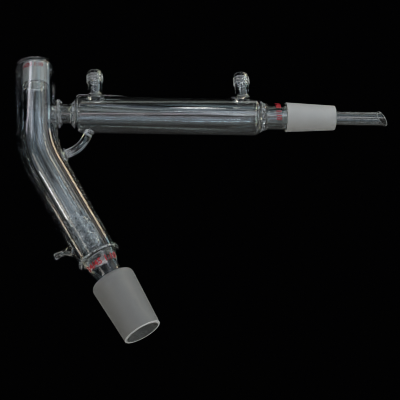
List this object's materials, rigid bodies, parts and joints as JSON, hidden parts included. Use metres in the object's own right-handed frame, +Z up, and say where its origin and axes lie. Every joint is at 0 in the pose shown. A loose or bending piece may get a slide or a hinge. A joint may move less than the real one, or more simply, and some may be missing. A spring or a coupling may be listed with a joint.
{
  "type": "distillation head",
  "caption": "Distillation head: bent vacuum-jacketed column, thermometer socket, sloping water condenser with screw-thread hose connections, ground joints and drip tip.",
  "frame": {"origin": "centre of the flask joint's small lower end", "axes": "+Z up the flask joint's axis, +X towards the receiver end in the head's plane of symmetry, Y across it"},
  "size_m": [0.2967, 0.0364, 0.2486],
  "materials": {
    "clear_glass": "polished"
  },
  "bodies": {
    "root": {"distilling_head": "clear_glass"}
  },
  "joints": []
}
